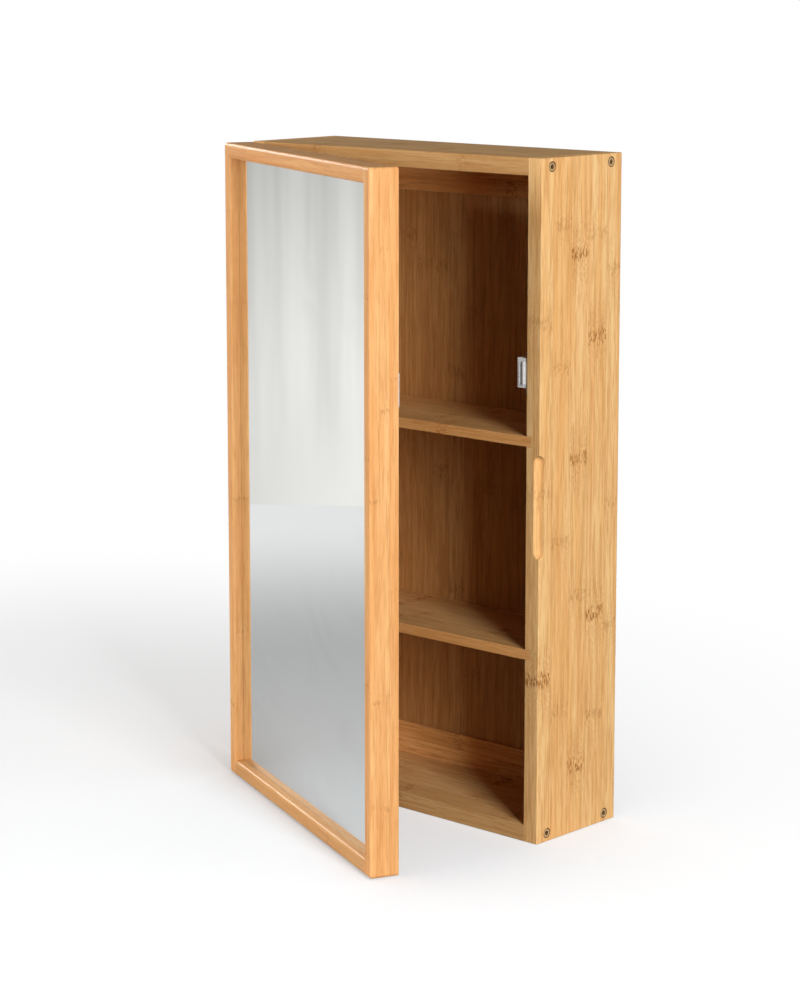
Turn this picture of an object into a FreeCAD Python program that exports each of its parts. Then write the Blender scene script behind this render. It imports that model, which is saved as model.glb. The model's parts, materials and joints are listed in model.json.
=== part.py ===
import FreeCAD, Part

import os

# A wall-hung bamboo medicine cabinet with one mirrored door, drawn with the door ajar.
# X runs to the right as seen from the front, Y runs back to the wall, which is the plane
# y = 0, and Z runs up from the underside. Lengths are millimetres and angles are degrees.

Vec = FreeCAD.Vector

# Case
case_width = 348.0
case_height = 600.0
case_depth = 108.0
board_thickness = 15.0
edge_easing = 0.8
shelf_thickness = 9.0
lower_bay_height = 149.0
middle_bay_height = 179.0
housing_depth = 6.0
glue_gap = 0.15

# Frame-and-panel back
back_rail_height = 30.0
back_rail_thickness = 10.0
back_panel_thickness = 4.0
back_groove_depth = 5.0

# Screws and dowels that hold the case
screw_edge_distance = 14.0
case_screw_head_radius = 3.6
case_screw_head_height = 2.0
case_screw_shank_radius = 2.5
case_screw_length = 42.0
case_screw_recess = 0.5
case_screw_mouth_radius = 4.6
case_screw_socket_radius = 2.3
case_screw_socket_depth = 1.8
screw_clearance = 0.1
dowel_radius = 4.0
dowel_length = 30.0
dowel_depth_in_side = 9.0
dowel_chamfer = 1.0
dowel_end_gap = 0.5

# Finger pull
pull_radius = 6.5
pull_length = 91.0

# Keyhole hangers let into the upper back rail
hanger_side_margin = 25.0
hanger_width = 48.0
hanger_height = 20.0
hanger_thickness = 1.5
hanger_corner_radius = 3.0
keyhole_entry_radius = 4.5
keyhole_slot_radius = 2.3
keyhole_rise = 8.0
keyhole_pocket_depth = 5.5
keyhole_pocket_margin = 0.3
hanger_screw_inset = 6.0
hanger_screw_length = 7.5

# Door frame
door_angle = 24.0
door_gap = 2.0
door_reveal = 0.5
door_thickness = 26.0
frame_face = 14.0
frame_round = 3.0
rebate_width = 5.0
tenon_length = 10.0
tenon_thickness = 10.0
tenon_shoulder = 2.0
tenon_setback = 8.0

# Mirror and what holds it in its rebate
mirror_recess = 9.0
mirror_thickness = 3.0
tape_thickness = 1.0
tape_width = 25.0
tape_strips = 3
tape_end_margin = 40.0
backing_thickness = 4.0
pane_clearance = 0.5
retaining_pin_radius = 0.6
retaining_pin_length = 12.0
retaining_pin_grip = 6.0
pins_per_stile = 3
pins_per_rail = 2

# Butt hinges
hinge_length = 50.0
hinge_inset = 60.0
hinge_pin_offset = 2.5
hinge_pin_radius = 1.2
pin_head_radius = 2.0
pin_head_height = 0.8
pin_press_clearance = 0.02
pin_running_clearance = 0.06
knuckle_count = 3
knuckle_radius = 2.5
knuckle_gap = 0.3
leaf_width = 12.0
leaf_thickness = 0.9
leaf_corner_radius = 1.0
leaf_screw_offset = 8.5
leaf_screw_inset = 9.0
small_screw_head_radius = 2.6
small_screw_shank_radius = 1.4
hinge_screw_length = 12.0
cross_length = 2.8
cross_width = 0.7
cross_depth = 0.8

# Magnetic catch and its strike
catch_shelf_distance = 36.0
catch_height = 26.0
catch_projection = 12.0
catch_depth = 14.0
catch_setback = 1.0
catch_wall_round = 1.0
ear_length = 5.6
ear_thickness = 1.6
ear_slot_radius = 1.5
ear_slot_length = 6.0
pole_protrusion = 1.5
pole_thickness = 2.0
pole_height = 20.0
pole_depth = 11.0
magnet_thickness = 2.4
magnet_setback = 2.3
magnet_fit = 0.1
pan_head_radius = 2.4
pan_head_top_radius = 1.5
pan_head_height = 1.5
pan_head_rim = 0.7
pan_shank_radius = 1.25
catch_screw_length = 11.0
strike_thickness = 1.2
strike_height = 30.0
strike_margin = 1.5
strike_corner_radius = 2.0
strike_screw_length = 11.0
strike_screw_inset = 6.0

# Places that follow from the case sizes
half_width = case_width / 2
inside_half = half_width - board_thickness
inside_top = case_height - board_thickness
case_front = -case_depth
lower_shelf_bottom = board_thickness + lower_bay_height
upper_shelf_bottom = lower_shelf_bottom + shelf_thickness + middle_bay_height
rail_front = -back_rail_thickness
panel_front = (rail_front - back_panel_thickness) / 2
panel_rear = panel_front + back_panel_thickness
groove_front = panel_front - glue_gap
groove_rear = panel_rear + glue_gap
tongue_reach = inside_half + back_groove_depth - glue_gap
lower_rail_top = board_thickness + back_rail_height
upper_rail_bottom = inside_top - back_rail_height

# Places of the closed door, which turns to its drawn angle at the end
pin_x = -(half_width + hinge_pin_offset)
pin_y = case_front - door_gap / 2
door_left = -half_width + door_reveal
door_right = half_width - door_reveal
door_bottom = door_reveal
door_top = case_height - door_reveal
door_back = case_front - door_gap
door_front = door_back - door_thickness
opening_left = door_left + frame_face
opening_right = door_right - frame_face
opening_bottom = door_bottom + frame_face
opening_top = door_top - frame_face
mirror_front = door_front + mirror_recess
mirror_back = mirror_front + mirror_thickness
tape_back = mirror_back + tape_thickness
backing_back = tape_back + backing_thickness
pane_reach = rebate_width - pane_clearance
stile_screw_inset = (frame_face - rebate_width) / 2


def block(x, y, z):
    """A box between the two ends given along each axis."""
    low = Vec(min(x), min(y), min(z))
    return Part.makeBox(abs(x[1] - x[0]), abs(y[1] - y[0]), abs(z[1] - z[0]), low)


def edges_on(shape, x=None, y=None, z=None):
    """The straight edges that lie wholly at the given coordinates."""
    def lies_there(edge):
        points = [vertex.Point for vertex in edge.Vertexes]
        wanted = [(0, x), (1, y), (2, z)]
        return all(abs(p[i] - v) < 1e-6 for p in points for i, v in wanted if v is not None)
    return [edge for edge in shape.Edges if lies_there(edge)]


def turned(outline):
    """A solid turned about Z from pairs of radius and height."""
    points = [Vec(0, 0, outline[0][1])]
    points += [Vec(radius, 0, height) for radius, height in outline]
    points += [Vec(0, 0, outline[-1][1]), points[0]]
    face = Part.Face(Part.makePolygon(points))
    return face.revolve(Vec(0, 0, 0), Vec(0, 0, 1), 360)


def aimed(shape, start, direction):
    """A shape drawn along +Z, set to start at a point and run in a direction."""
    placed = shape.copy()
    placed.Placement = FreeCAD.Placement(start, FreeCAD.Rotation(Vec(0, 0, 1), direction))
    return placed


def rounded_plate(x, y, z, radius):
    """A plate facing Y with rounded corners."""
    plate = block(x, y, z)
    corners = [edge for cx in x for cz in z for edge in edges_on(plate, x=cx, z=cz)]
    return plate.makeFillet(radius, corners)


def countersunk_screw(head_radius, head_height, shank_radius, length, growth=0.0):
    """A screw with a flat head, pointing along +Z; growth makes the hole that takes it."""
    cone_end = head_height + head_radius - shank_radius
    outline = [
        (head_radius + growth, -growth),
        (head_radius + growth, head_height),
        (shank_radius + growth, cone_end),
        (shank_radius + growth, length - shank_radius),
        (shank_radius / 2, length + growth),
    ]
    return turned(outline)


def small_screw(length, growth=0.0):
    """The small countersunk screw of the hinges, hangers and strike, with a cross recess."""
    screw = countersunk_screw(small_screw_head_radius, 0.0, small_screw_shank_radius, length, growth)
    return screw if growth else screw.cut(cross_recess())


def pan_screw(length, growth=0.0):
    """A round-headed screw whose head stands on z = 0 and whose shank runs along +Z."""
    shank = countersunk_screw(pan_shank_radius, 0.0, pan_shank_radius, length, growth)
    if growth:
        return shank
    head = turned([
        (pan_head_top_radius, -pan_head_height),
        (pan_head_radius, -pan_head_rim),
        (pan_head_radius, 0.0),
    ])
    recess = cross_recess()
    recess.translate(Vec(0, 0, -pan_head_height))
    return shank.fuse(head).removeSplitter().cut(recess)


def cross_recess():
    """The cross that a driver turns, sunk from z = 0."""
    long, wide = cross_length / 2, cross_width / 2
    first = block((-long, long), (-wide, wide), (0, cross_depth))
    return first.fuse(block((-wide, wide), (-long, long), (0, cross_depth)))


def case_screw(growth=0.0):
    """A socket-headed screw through a side into the end of a panel."""
    screw = countersunk_screw(
        case_screw_head_radius, case_screw_head_height, case_screw_shank_radius, case_screw_length, growth
    )
    if growth:
        mouth_depth = case_screw_recess + case_screw_head_height
        mouth = Part.makeCylinder(
            case_screw_mouth_radius, mouth_depth, Vec(0, 0, -case_screw_recess)
        )
        return screw.fuse(mouth)
    hexagon = Part.makePolygon([
        FreeCAD.Rotation(Vec(0, 0, 1), 60 * corner).multVec(Vec(case_screw_socket_radius, 0, 0))
        for corner in range(7)
    ])
    return screw.cut(Part.Face(hexagon).extrude(Vec(0, 0, case_screw_socket_depth)))


def case_screws(growth=0.0):
    """Every case screw, or the holes for them: two through each end of the top and bottom."""
    head = half_width - case_screw_recess
    heights = (board_thickness / 2, case_height - board_thickness / 2)
    depths = (case_front + screw_edge_distance, -screw_edge_distance)
    return [
        aimed(case_screw(growth), Vec(hand * head, y, z), Vec(-hand, 0, 0))
        for hand in (-1, 1) for z in heights for y in depths
    ]


def dowels(growth=0.0, end_gap=0.0):
    """The dowels that line the top and bottom up with the sides, or their holes."""
    length = dowel_length + 2 * end_gap
    radius = dowel_radius + growth
    pin = turned([
        (radius - dowel_chamfer, 0),
        (radius, dowel_chamfer),
        (radius, length - dowel_chamfer),
        (radius - dowel_chamfer, length),
    ])
    start = inside_half + dowel_depth_in_side + end_gap
    heights = (board_thickness / 2, case_height - board_thickness / 2)
    return [
        aimed(pin, Vec(hand * start, case_front / 2, z), Vec(-hand, 0, 0))
        for hand in (-1, 1) for z in heights
    ]


def finger_pull():
    """The hollow that a round-nosed cutter leaves along the front edge of a side."""
    half_run = pull_length / 2 - pull_radius
    middle = Vec(half_width, case_front, case_height / 2)
    low = middle - Vec(0, 0, half_run)
    hollow = Part.makeCylinder(pull_radius, 2 * half_run, low)
    ends = [Part.makeSphere(pull_radius, middle + Vec(0, 0, step)) for step in (-half_run, half_run)]
    return hollow.multiFuse(ends)


def side_panel(hand, extra_cuts):
    """One side, -1 for the left and 1 for the right, housed for the shelves and the back."""
    outer, inner = hand * half_width, hand * inside_half
    side = block((inner, outer), (case_front, 0), (0, case_height))
    eased = edges_on(side, x=outer, y=case_front)
    for end in (0, case_height):
        eased += edges_on(side, x=outer, z=end) + edges_on(side, y=case_front, z=end)
    side = side.makeFillet(edge_easing, eased)
    housed = hand * (inside_half + housing_depth)
    cuts = [
        block(
            (inner, housed), (case_front, panel_front), (low - glue_gap, low + shelf_thickness + glue_gap)
        )
        for low in (lower_shelf_bottom, upper_shelf_bottom)
    ]
    grooved = hand * (inside_half + back_groove_depth)
    cuts.append(block((inner, grooved), (groove_front, groove_rear), (board_thickness, inside_top)))
    return side.cut(cuts + joint_holes + extra_cuts)


def end_panel(low, outer_face):
    """The top or the bottom, which stands between the sides."""
    panel = block((-inside_half, inside_half), (case_front, 0), (low, low + board_thickness))
    panel = panel.makeFillet(edge_easing, edges_on(panel, y=case_front, z=outer_face))
    return panel.cut(joint_holes)


def shelf(low):
    """A shelf whose ends stand in the housings of the sides."""
    reach = inside_half + housing_depth - glue_gap
    return block((-reach, reach), (case_front, panel_front), (low, low + shelf_thickness))


def back_rail(low, grooved_edge):
    """A rail of the back, tongued into the sides and grooved along one edge for the panel."""
    height = (low, low + back_rail_height)
    rail = block((-inside_half, inside_half), (rail_front, 0), height)
    tongues = block((-tongue_reach, tongue_reach), (panel_front, panel_rear), height)
    groove_end = grooved_edge + (back_groove_depth if grooved_edge == low else -back_groove_depth)
    groove = block((-half_width, half_width), (groove_front, groove_rear), (grooved_edge, groove_end))
    return rail.fuse(tongues).removeSplitter().cut(groove)


def hanger_places():
    """The middle of each hanger plate along X."""
    reach = inside_half - hanger_side_margin - hanger_width / 2
    return (-reach, reach)


hanger_low = inside_top - (back_rail_height - back_groove_depth + hanger_height) / 2
hanger_top = hanger_low + hanger_height
keyhole_margin = (hanger_height - keyhole_rise - keyhole_entry_radius - keyhole_slot_radius) / 2
keyhole_entry_height = hanger_low + keyhole_margin + keyhole_entry_radius
keyhole_slot_height = keyhole_entry_height + keyhole_rise


def keyhole(x, depth, entry_radius, slot_radius):
    """A keyhole seen from the wall: a round entry with a slot that rises from it."""
    forward = Vec(0, -1, 0)
    entry = Part.makeCylinder(entry_radius, depth, Vec(x, 0, keyhole_entry_height), forward)
    slot_end = Part.makeCylinder(slot_radius, depth, Vec(x, 0, keyhole_slot_height), forward)
    slot = block(
        (x - slot_radius, x + slot_radius), (-depth, 0), (keyhole_entry_height, keyhole_slot_height)
    )
    return entry.multiFuse([slot_end, slot])


def hanger_screws(growth=0.0):
    """The screws of both hangers, or their holes, driven forward from the wall side."""
    reach = hanger_width / 2 - hanger_screw_inset
    height = (hanger_low + hanger_top) / 2
    return [
        aimed(small_screw(hanger_screw_length, growth), Vec(x + side * reach, 0, height), Vec(0, -1, 0))
        for x in hanger_places() for side in (-1, 1)
    ]


def hanger_plate(x):
    """A steel plate with a keyhole, flush with the back of the rail."""
    half = hanger_width / 2
    plate = rounded_plate(
        (x - half, x + half), (-hanger_thickness, 0), (hanger_low, hanger_top), hanger_corner_radius
    )
    hole = keyhole(x, hanger_thickness, keyhole_entry_radius, keyhole_slot_radius)
    return plate.cut([hole] + hanger_screws(screw_clearance))


def upper_back_rail():
    """The rail that carries the cabinet, sunk for the hanger plates and for the wall screws' heads."""
    rail = back_rail(upper_rail_bottom, upper_rail_bottom)
    half = hanger_width / 2 + glue_gap
    pocket_radius = keyhole_entry_radius + keyhole_pocket_margin
    cuts = hanger_screws(screw_clearance)
    for x in hanger_places():
        cuts.append(rounded_plate(
            (x - half, x + half), (-hanger_thickness, 0),
            (hanger_low - glue_gap, hanger_top + glue_gap), hanger_corner_radius,
        ))
        cuts.append(keyhole(x, hanger_thickness + keyhole_pocket_depth, pocket_radius, pocket_radius))
    return rail.cut(cuts)


def hinge_bottoms():
    """The lower end of the lower and the upper hinge."""
    return {"lower": hinge_inset, "upper": case_height - hinge_inset - hinge_length}


def knuckle_spans(bottom):
    """The knuckles of a hinge from its lower end, as pairs of heights with a gap between each."""
    pitch = (hinge_length + knuckle_gap) / knuckle_count
    starts = [bottom + i * pitch for i in range(knuckle_count)]
    return [(start, start + pitch - knuckle_gap) for start in starts]


def hinge_leaf(bottom, side, own, clearance):
    """A hinge leaf with its rolled knuckles; side is 1 on the case and -1 on the door."""
    seat = pin_y + side * door_gap / 2
    leaf = rounded_plate(
        (pin_x, pin_x + leaf_width), (seat, seat - side * leaf_thickness),
        (bottom, bottom + hinge_length), leaf_corner_radius,
    )
    spans = knuckle_spans(bottom)
    around = knuckle_radius + knuckle_gap
    for index, (low, high) in enumerate(spans):
        if index in own:
            continue
        gap = (low - knuckle_gap, high + knuckle_gap)
        leaf = leaf.cut(block((pin_x - around, pin_x + around), (pin_y - around, pin_y + around), gap))
    rolls = [
        Part.makeCylinder(knuckle_radius, high - low, Vec(pin_x, pin_y, low))
        for index, (low, high) in enumerate(spans) if index in own
    ]
    bore = Part.makeCylinder(hinge_pin_radius + clearance, hinge_length, Vec(pin_x, pin_y, bottom))
    leaf = leaf.multiFuse(rolls).removeSplitter().cut(bore)
    return leaf.cut(hinge_screws(side, screw_clearance))


def hinge_screws(side, growth=0.0):
    """The screws of both hinges on one side, or their holes: 1 is the case and -1 the door."""
    head = pin_y + side * (door_gap / 2 - leaf_thickness)
    return [
        aimed(
            small_screw(hinge_screw_length, growth),
            Vec(pin_x + leaf_screw_offset, head, bottom + place), Vec(0, side, 0),
        )
        for bottom in hinge_bottoms().values()
        for place in (leaf_screw_inset, hinge_length - leaf_screw_inset)
    ]


def hinge_pin(bottom):
    """A pin with a small head, pressed into the case leaf."""
    pin = turned([
        (hinge_pin_radius, 0),
        (hinge_pin_radius, hinge_length),
        (pin_head_radius, hinge_length),
        (pin_head_radius, hinge_length + pin_head_height / 2),
        (pin_head_radius / 2, hinge_length + pin_head_height),
    ])
    pin.translate(Vec(pin_x, pin_y, bottom))
    return pin


catch_low = upper_shelf_bottom + shelf_thickness + catch_shelf_distance + ear_length
catch_high = catch_low + catch_height
catch_centre_height = (catch_low + catch_high) / 2
catch_face = inside_half - catch_projection
catch_front = case_front + catch_setback
pole_middle = (catch_face + inside_half - ear_thickness) / 2
pole_front = catch_front - pole_protrusion
pole_back = pole_front + pole_depth
magnet_half = magnet_thickness / 2
ear_screw_y = catch_front + catch_depth / 2


def catch_screws(growth=0.0):
    """The two screws of the catch, or their holes, driven into the right side."""
    heights = (catch_low - ear_length / 2, catch_high + ear_length / 2)
    head = inside_half - ear_thickness
    return [
        aimed(pan_screw(catch_screw_length, growth), Vec(head, ear_screw_y, z), Vec(1, 0, 0))
        for z in heights
    ]


def catch_housing():
    """The moulded catch: a box with a slot for the magnet, on a flange with two slotted ears."""
    depth = (catch_front, catch_front + catch_depth)
    box = block((catch_face, inside_half), depth, (catch_low, catch_high))
    rounded = edges_on(box, x=catch_face)
    box = box.makeFillet(catch_wall_round, rounded)
    flange = block(
        (inside_half - ear_thickness, inside_half), depth, (catch_low - ear_length, catch_high + ear_length)
    )
    half_pack = magnet_half + pole_thickness + magnet_fit
    half_slot = pole_height / 2 + magnet_fit
    cuts = [block(
        (pole_middle - half_pack, pole_middle + half_pack),
        (catch_front, pole_back),
        (catch_centre_height - half_slot, catch_centre_height + half_slot),
    )]
    half_run = ear_slot_length / 2 - ear_slot_radius
    for z in (catch_low - ear_length / 2, catch_high + ear_length / 2):
        for y in (ear_screw_y - half_run, ear_screw_y + half_run):
            cuts.append(Part.makeCylinder(
                ear_slot_radius, ear_thickness, Vec(inside_half - ear_thickness, y, z), Vec(1, 0, 0)
            ))
        cuts.append(block(
            (inside_half - ear_thickness, inside_half), (ear_screw_y - half_run, ear_screw_y + half_run),
            (z - ear_slot_radius, z + ear_slot_radius),
        ))
    return box.fuse(flange).removeSplitter().cut(cuts)


def catch_plate(near, far, front):
    """A plate of the magnet pack between two distances from the pack's middle."""
    half = pole_height / 2
    return block(
        (pole_middle + near, pole_middle + far),
        (front, pole_back),
        (catch_centre_height - half, catch_centre_height + half),
    )


def strike_screws(growth=0.0):
    """The strike's two screws, or their holes, driven into the free stile."""
    reach = strike_height / 2 - strike_screw_inset
    head = door_back + strike_thickness
    return [
        aimed(
            small_screw(strike_screw_length, growth),
            Vec(door_right - stile_screw_inset, head, catch_centre_height + step), Vec(0, -1, 0),
        )
        for step in (-reach, reach)
    ]


def strike_plate():
    """The steel plate that the magnet holds, screwed to the stile and reaching over the catch."""
    half = strike_height / 2
    plate = rounded_plate(
        (catch_face - strike_margin, door_right - strike_margin),
        (door_back, door_back + strike_thickness),
        (catch_centre_height - half, catch_centre_height + half), strike_corner_radius,
    )
    return plate.cut(strike_screws(screw_clearance))


def retaining_pins(growth=0.0):
    """The headless pins driven into the rebate's wall to hold the backing, or their holes."""
    pin = Part.makeCylinder(retaining_pin_radius + growth, retaining_pin_length)
    y = backing_back + retaining_pin_radius
    out = rebate_width + retaining_pin_grip
    places = []
    for i in range(pins_per_stile):
        z = opening_bottom + (opening_top - opening_bottom) * (i + 0.5) / pins_per_stile
        places.append((Vec(opening_left - out, y, z), Vec(1, 0, 0)))
        places.append((Vec(opening_right + out, y, z), Vec(-1, 0, 0)))
    for i in range(pins_per_rail):
        x = opening_left + (opening_right - opening_left) * (i + 0.5) / pins_per_rail
        places.append((Vec(x, y, opening_bottom - out), Vec(0, 0, 1)))
        places.append((Vec(x, y, opening_top + out), Vec(0, 0, -1)))
    return [aimed(pin, start, direction) for start, direction in places]


def framed_opening(margin, front, back):
    """The door's opening as a block, widened all round by a margin."""
    return block(
        (opening_left - margin, opening_right + margin), (front, back),
        (opening_bottom - margin, opening_top + margin),
    )


def whole_frame():
    """The door frame in one piece: rounded outside and in, with a rebate behind."""
    frame = block((door_left, door_right), (door_front, door_back), (door_bottom, door_top))
    rounded = edges_on(frame, y=door_front)
    for x in (door_left, door_right):
        for z in (door_bottom, door_top):
            rounded += edges_on(frame, x=x, z=z)
    frame = frame.makeFillet(frame_round, rounded)
    frame = frame.cut(framed_opening(0, door_front, door_back))
    inner = []
    for x in (opening_left, opening_right):
        inner += edges_on(frame, x=x, y=door_front)
    for z in (opening_bottom, opening_top):
        inner += edges_on(frame, y=door_front, z=z)
    frame = frame.makeFillet(frame_round, inner)
    rebate = framed_opening(rebate_width, mirror_front, door_back)
    return frame.cut([rebate] + retaining_pins(screw_clearance))


def tenons(outer, inner, growth=0.0):
    """The tenons at both ends of a rail, kept clear of its rebate, or their mortises."""
    inward = 1 if inner > outer else -1
    shoulder = inward * (tenon_shoulder - growth)
    depth = (door_front + tenon_setback - growth, door_front + tenon_setback + tenon_thickness + growth)
    height = (outer + shoulder, inner - inward * rebate_width - shoulder)
    length = tenon_length + growth
    return [
        block((opening_left - length, opening_left), depth, height),
        block((opening_right, opening_right + length), depth, height),
    ]


def door_frame():
    """The four members of the frame: stiles that run through and rails tenoned between them."""
    frame = whole_frame()
    rail_heights = {
        "door_bottom_rail": (door_bottom, opening_bottom),
        "door_top_rail": (door_top, opening_top),
    }
    mortises = [cut for heights in rail_heights.values() for cut in tenons(*heights, glue_gap)]
    depth, height = (door_front, door_back), (door_bottom, door_top)
    members = {}
    left = frame.common(block((door_left, opening_left), depth, height))
    members["door_hinge_stile"] = left.cut(mortises + hinge_screws(-1, screw_clearance))
    right = frame.common(block((opening_right, door_right), depth, height))
    members["door_free_stile"] = right.cut(mortises + strike_screws(screw_clearance))
    for name, heights in rail_heights.items():
        rail = frame.common(block((opening_left, opening_right), depth, heights))
        members[name] = rail.multiFuse(tenons(*heights)).removeSplitter()
    return members


def mirror_tape():
    """Strips of foam tape between the mirror and the backing board."""
    height = (opening_bottom + tape_end_margin, opening_top - tape_end_margin)
    step = (opening_right - opening_left) / tape_strips
    middles = [opening_left + step * (i + 0.5) for i in range(tape_strips)]
    return [
        block((x - tape_width / 2, x + tape_width / 2), (mirror_back, tape_back), height)
        for x in middles
    ]


def swung(shape):
    """A piece of the closed door, turned about the hinge pins to the drawn angle."""
    turned_shape = shape.copy()
    turned_shape.rotate(Vec(pin_x, pin_y, 0), Vec(0, 0, 1), -door_angle)
    return turned_shape


joint_holes = case_screws(screw_clearance) + dowels(screw_clearance, dowel_end_gap)

case = {
    "left_side_panel": side_panel(-1, hinge_screws(1, screw_clearance)),
    "right_side_panel": side_panel(1, [finger_pull()] + catch_screws(screw_clearance)),
    "top_panel": end_panel(inside_top, case_height),
    "bottom_panel": end_panel(0, 0),
    "upper_shelf": shelf(upper_shelf_bottom),
    "lower_shelf": shelf(lower_shelf_bottom),
    "back_panel": block(
        (-tongue_reach, tongue_reach), (panel_front, panel_rear),
        (lower_rail_top - back_groove_depth + glue_gap, upper_rail_bottom + back_groove_depth - glue_gap),
    ),
    "upper_back_rail": upper_back_rail(),
    "lower_back_rail": back_rail(board_thickness, lower_rail_top),
    "case_screws": Part.makeCompound(case_screws()),
    "alignment_dowels": Part.makeCompound(dowels()),
    "hanger_plates": Part.makeCompound([hanger_plate(x) for x in hanger_places()]),
    "hanger_screws": Part.makeCompound(hanger_screws()),
    "case_hinge_screws": Part.makeCompound(hinge_screws(1)),
    "catch_housing": catch_housing(),
    "catch_magnet": catch_plate(-magnet_half, magnet_half, pole_front + magnet_setback),
    "catch_pole_plates": Part.makeCompound([
        catch_plate(side * magnet_half, side * (magnet_half + pole_thickness), pole_front)
        for side in (-1, 1)
    ]),
    "catch_screws": Part.makeCompound(catch_screws()),
}

door = door_frame()
door["mirror_glass"] = framed_opening(pane_reach, mirror_front, mirror_back)
door["mirror_tape"] = Part.makeCompound(mirror_tape())
door["backing_board"] = framed_opening(pane_reach, tape_back, backing_back)
door["retaining_pins"] = Part.makeCompound(retaining_pins())
door["door_hinge_screws"] = Part.makeCompound(hinge_screws(-1))
door["strike_plate"] = strike_plate()
door["strike_screws"] = Part.makeCompound(strike_screws())

for place, bottom in hinge_bottoms().items():
    case[place + "_hinge_case_leaf"] = hinge_leaf(bottom, 1, (0, 2), pin_press_clearance)
    case[place + "_hinge_pin"] = hinge_pin(bottom)
    door[place + "_hinge_door_leaf"] = hinge_leaf(bottom, -1, (1,), pin_running_clearance)

os.makedirs("parts", exist_ok=True)
for name, shape in case.items():
    shape.exportStep("parts/" + name + ".step")
for name, shape in door.items():
    swung(shape).exportStep("parts/" + name + ".step")
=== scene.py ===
# %% [markdown]
# # A mirrored bamboo cabinet, dressed in Blender
#
# The cabinet is a bamboo box with two shelves and a framed mirror for a door. Its boards, hinges,
# screws and catch come from a CAD model that already has the right shapes and sizes. What is left for
# Blender is how each of them looks: glued bamboo strips under lacquer, silvered glass, plated steel,
# moulded plastic. The first cell loads the CAD model and keeps its box.

# %% Load the CAD frame
import json
import math

import bmesh
import bpy
from mathutils import Matrix, Vector


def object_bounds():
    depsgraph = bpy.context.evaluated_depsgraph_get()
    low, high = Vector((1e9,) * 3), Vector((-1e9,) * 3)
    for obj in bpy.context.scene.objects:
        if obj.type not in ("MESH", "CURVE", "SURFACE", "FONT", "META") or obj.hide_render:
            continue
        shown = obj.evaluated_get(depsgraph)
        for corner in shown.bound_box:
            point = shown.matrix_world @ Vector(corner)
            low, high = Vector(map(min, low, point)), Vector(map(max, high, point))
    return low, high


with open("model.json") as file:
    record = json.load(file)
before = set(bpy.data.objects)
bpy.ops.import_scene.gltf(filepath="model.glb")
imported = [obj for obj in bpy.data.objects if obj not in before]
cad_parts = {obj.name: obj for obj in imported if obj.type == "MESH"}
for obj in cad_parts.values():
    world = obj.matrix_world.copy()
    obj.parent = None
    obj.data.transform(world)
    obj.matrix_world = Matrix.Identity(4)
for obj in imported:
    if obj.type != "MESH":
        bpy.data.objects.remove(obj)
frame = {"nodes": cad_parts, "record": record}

scene = bpy.context.scene
parts = frame["nodes"]
cad_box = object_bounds()

# %% [markdown]
# ## Camera
#
# The cabinet is seen from its right front corner and from a little above, through a long lens
# that keeps the boards almost parallel. The upright edges lean very little, which a product
# photographer gets by shifting the lens. A small shift does part of that here, and the camera's
# own tilt does the rest, because a large shift would push the cabinet out of every other view.

# %% Camera
tilt_down, turn_left = 8.96, 42.69
camera_lens = bpy.data.cameras.new("corner_camera")
camera_lens.sensor_width = 36.0
camera_lens.lens = 99.6
camera_lens.shift_y = -0.10
camera = bpy.data.objects.new("corner_camera", camera_lens)
camera.location = (1.667, -1.903, 0.762)
camera.rotation_euler = (math.radians(90 - tilt_down), 0.0, math.radians(turn_left))
scene.collection.objects.link(camera)
scene.camera = camera
scene.view_settings.view_transform = "Standard"
print("camera stands", round(camera.location.length, 2), "m from the cabinet")

# %% [markdown]
# ## Wiring helpers
#
# Every finish below is a small network of shader nodes. Four helpers keep that readable: one adds a
# node, one fills a socket with a number or a link, one does a sum and one draws a smooth ramp. The
# last two return the socket that holds the result, so a formula can be written almost as on paper.

# %% Wiring helpers
def add_node(tree, kind, **settings):
    made = tree.nodes.new("ShaderNode" + kind)
    for name, value in settings.items():
        setattr(made, name, value)
    return made


def feed(tree, socket, value):
    if isinstance(value, bpy.types.NodeSocket):
        tree.links.new(value, socket)
    else:
        socket.default_value = value


def work_out(tree, operation, *values):
    step = add_node(tree, "Math", operation=operation)
    for socket, value in zip(step.inputs, values):
        feed(tree, socket, value)
    return step.outputs[0]


def ramp_between(tree, value, start, end, low=0.0, high=1.0):
    step = add_node(tree, "MapRange", interpolation_type="SMOOTHSTEP")
    for name, number in (("From Min", start), ("From Max", end), ("To Min", low), ("To Max", high)):
        feed(tree, step.inputs[name], number)
    feed(tree, step.inputs["Value"], value)
    return step.outputs["Result"]


print("wiring helpers ready")

# %% [markdown]
# A finish also has to know which point of the object it colours. Object coordinates give that point
# in metres, and they stay with the piece when the door swings. The next helpers read the point,
# split it into its three numbers, put three numbers together, and stretch a point so that a round
# pattern turns into a long one.

# %% Points
def object_point(tree):
    return add_node(tree, "TexCoord").outputs["Object"]


def axes_of(tree, point):
    split = add_node(tree, "SeparateXYZ")
    feed(tree, split.inputs[0], point)
    return split.outputs


def point_at(tree, x, y, z):
    joined = add_node(tree, "CombineXYZ")
    for socket, value in zip(joined.inputs, (x, y, z)):
        feed(tree, socket, value)
    return joined.outputs[0]


def scaled(tree, vector, factors):
    step = add_node(tree, "VectorMath", operation="MULTIPLY")
    feed(tree, step.inputs[0], vector)
    feed(tree, step.inputs[1], factors)
    return step.outputs[0]


print("points can be read and stretched")

# %% [markdown]
# ## Floor
#
# The cabinet stands on a white sweep of paper. A real sweep is lit until it turns white, and that
# spill would bleach the boards too. Here the paper glows, but only for rays that come straight from
# the camera, so the lamps can stay soft. A mirror sees the paper greyer, as it would really look.

# %% Glow that depends on the ray
def new_material(name):
    material = bpy.data.materials.new(name)
    material.use_nodes = True
    tree = material.node_tree
    tree.nodes.clear()
    return material, tree


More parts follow.
